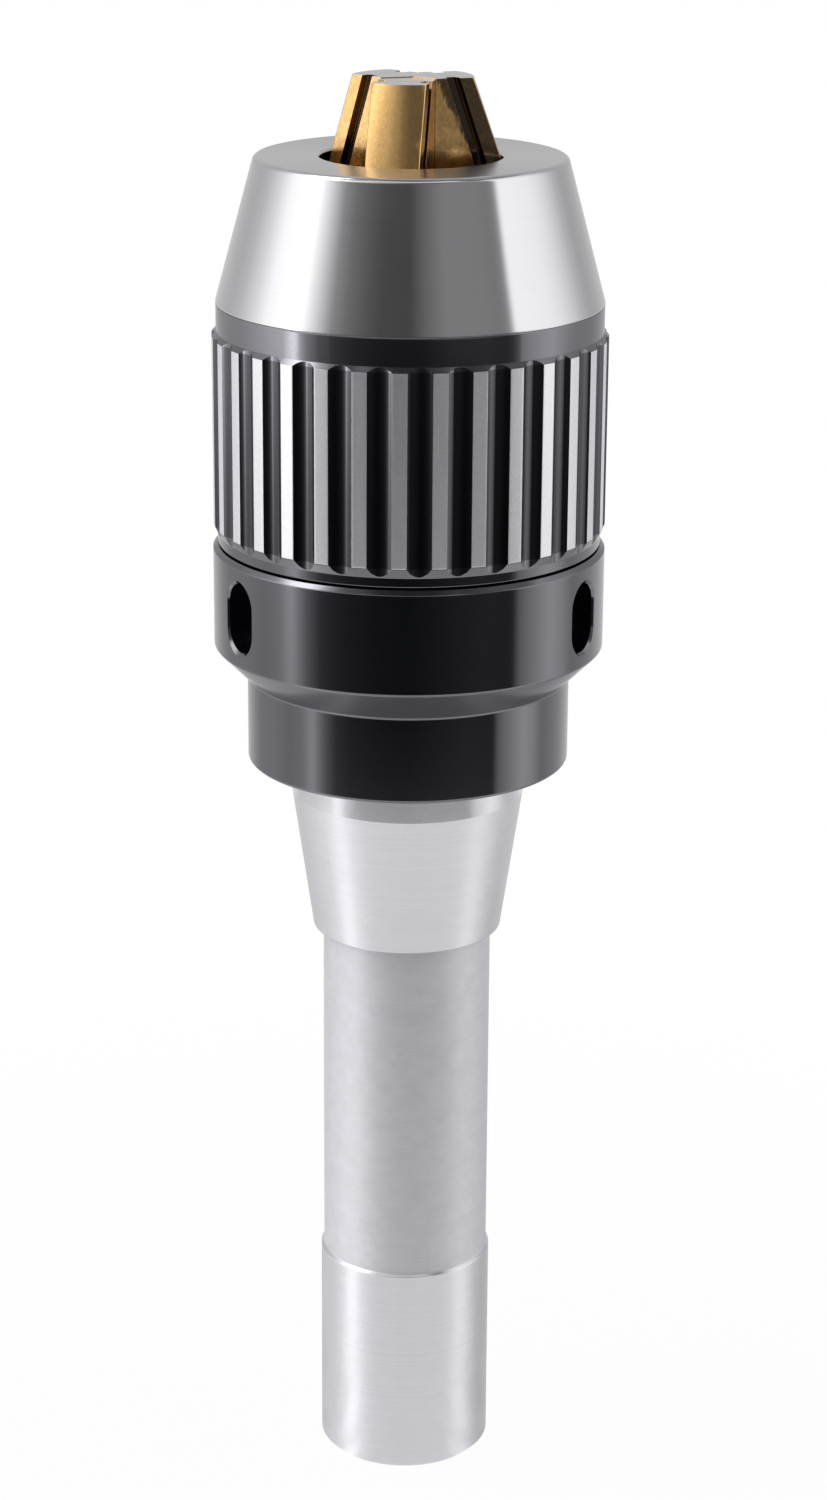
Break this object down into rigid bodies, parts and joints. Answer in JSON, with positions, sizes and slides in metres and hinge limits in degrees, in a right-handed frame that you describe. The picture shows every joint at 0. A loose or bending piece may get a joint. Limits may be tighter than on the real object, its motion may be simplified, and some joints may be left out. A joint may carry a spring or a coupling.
{
  "type": "keyless drill chuck",
  "caption": "Keyless drill chuck with a straight-and-taper machine shank, a fluted hand sleeve, a conical nose and three self-centring jaws.",
  "frame": {"origin": "centre of the shank's small end face, on which the chuck stands", "axes": "+Z along the spindle axis towards the jaw tips, -Y towards the picture's camera, +X to its right"},
  "size_m": [0.053, 0.053, 0.1972],
  "materials": {
    "ground_steel": "ground",
    "black_oxide": "black oxide on turned steel",
    "bright_steel": "fine turned",
    "hardened_steel": "polished",
    "gold_coating": "gold-coloured hard coating on ground steel",
    "bearing_bronze": "machined",
    "seal_rubber": "moulded"
  },
  "bodies": {
    "body": {"shank_core": "ground_steel", "rear_collar": "black_oxide", "collar_key": "hardened_steel", "collar_screws": "hardened_steel", "dust_seal": "seal_rubber", "flange_bush": "bearing_bronze", "front_race": "hardened_steel", "preload_washer": "hardened_steel"},
    "sleeve": {"fluted_sleeve": "black_oxide", "nose_cone": "bright_steel", "jaw_guide": "black_oxide", "guide_pins": "hardened_steel", "rear_race": "hardened_steel", "journal_bush": "bearing_bronze", "nose_seal": "seal_rubber"},
    "bearing": {"thrust_balls": "hardened_steel", "ball_cage": "bearing_bronze"},
    "screw": {"drive_screw": "bright_steel"},
    "jaw_a": {"jaw_a": "gold_coating"},
    "jaw_b": {"jaw_b": "gold_coating"},
    "jaw_c": {"jaw_c": "gold_coating"}
  },
  "joints": [
    {"name": "sleeve_turn", "type": "hinge", "parent": "body", "child": "sleeve", "pos_m": [0, 0, 0.15], "axis": [0, 0, 1], "range_deg": [0, 1698.96]},
    {"name": "bearing_orbit", "type": "hinge", "parent": "body", "child": "bearing", "pos_m": [0, 0, 0.1415], "axis": [0, 0, 1], "range_deg": [0, 849.49]},
    {"name": "screw_travel", "type": "slide", "parent": "sleeve", "child": "screw", "axis": [0, 0, -1], "range_m": [0, 0.01888]},
    {"name": "jaw_a_slide", "type": "slide", "parent": "sleeve", "child": "jaw_a", "axis": [-0.0721, -0.3175, -0.9455], "range_m": [0, 0.01997]},
    {"name": "jaw_b_slide", "type": "slide", "parent": "sleeve", "child": "jaw_b", "axis": [0.311, 0.0963, -0.9455], "range_m": [0, 0.01997]},
    {"name": "jaw_c_slide", "type": "slide", "parent": "sleeve", "child": "jaw_c", "axis": [-0.2389, 0.2212, -0.9455], "range_m": [0, 0.01997]}
  ],
  "couplings": [
    {"joint": "bearing_orbit", "follows": "sleeve_turn", "ratio": 0.5},
    {"joint": "screw_travel", "follows": "sleeve_turn", "m_per_rad": 0.00063662},
    {"joint": "jaw_a_slide", "follows": "sleeve_turn", "m_per_rad": 0.0006733},
    {"joint": "jaw_b_slide", "follows": "sleeve_turn", "m_per_rad": 0.0006733},
    {"joint": "jaw_c_slide", "follows": "sleeve_turn", "m_per_rad": 0.0006733}
  ]
}
